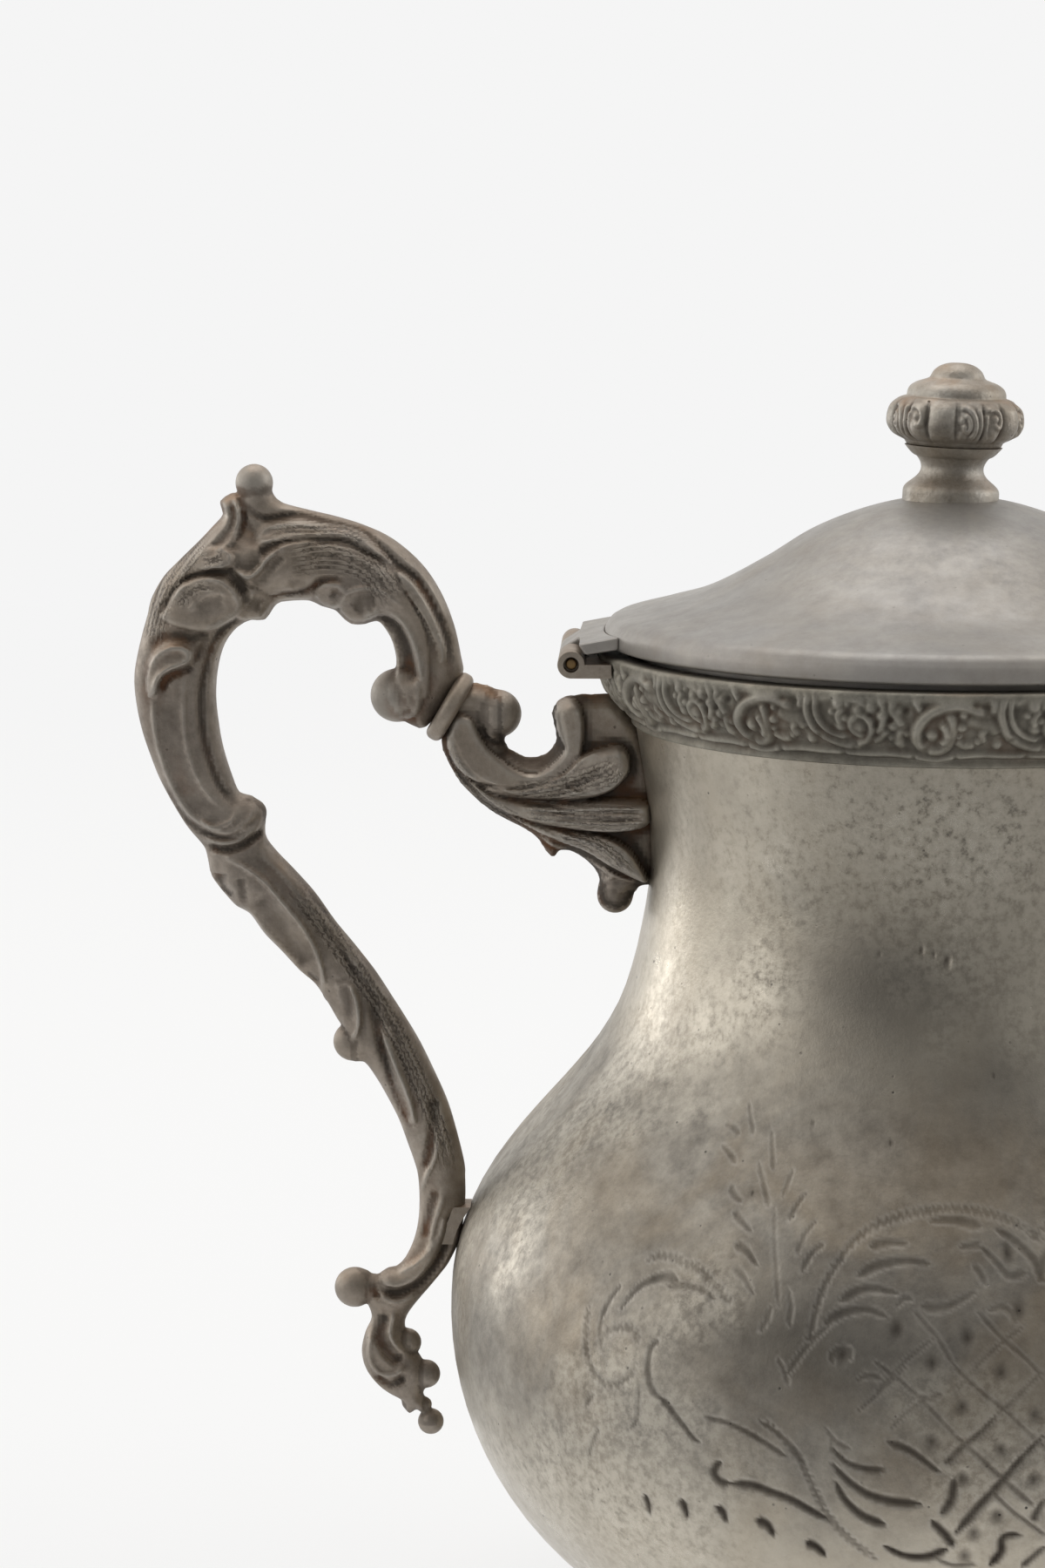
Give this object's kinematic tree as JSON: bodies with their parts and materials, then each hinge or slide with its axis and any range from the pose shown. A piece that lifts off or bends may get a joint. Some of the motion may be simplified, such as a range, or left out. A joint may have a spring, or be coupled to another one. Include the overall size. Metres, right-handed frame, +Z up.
{
  "type": "teapot",
  "caption": "Pear-shaped pewter teapot with a scrolled cast handle, a curved spout, an ornament band round the mouth and a domed lid hinged at the handle side.",
  "frame": {"origin": "centre of the foot's resting face, under the middle of the pot, handle and spout reaching equally far", "axes": "+X toward the spout, -X toward the handle, +Z up, the lid's hinge pin along Y"},
  "size_m": [0.2424, 0.1484, 0.1998],
  "materials": {
    "pewter_body": "spun pewter, satin, mottled with age",
    "pewter_lid": "spun pewter, matt grey",
    "pewter_cast": "cast pewter, dark with oxide in the recesses",
    "brass": "dull brass"
  },
  "bodies": {
    "pot": {"body_shell": "pewter_body", "bottom_plate": "pewter_body", "foot_ring": "pewter_body", "neck_band": "pewter_cast", "spout_near_half": "pewter_body", "spout_far_half": "pewter_body", "handle_grip": "pewter_cast", "handle_collar": "pewter_cast", "handle_bracket": "pewter_cast", "handle_lug": "pewter_cast", "hinge_body_leaf": "pewter_cast", "hinge_pin": "brass"},
    "lid": {"lid_dome": "pewter_lid", "lid_bezel": "pewter_lid", "hinge_lid_leaf": "pewter_lid", "finial_base": "pewter_cast", "finial_knob": "pewter_cast", "finial_stud": "brass", "finial_washer": "pewter_lid", "finial_nut": "brass"}
  },
  "joints": [
    {"name": "lid_hinge", "type": "hinge", "parent": "pot", "child": "lid", "pos_m": [-0.0557, 0, 0.1567], "axis": [0, -1, 0], "range_deg": [0, 105]}
  ]
}
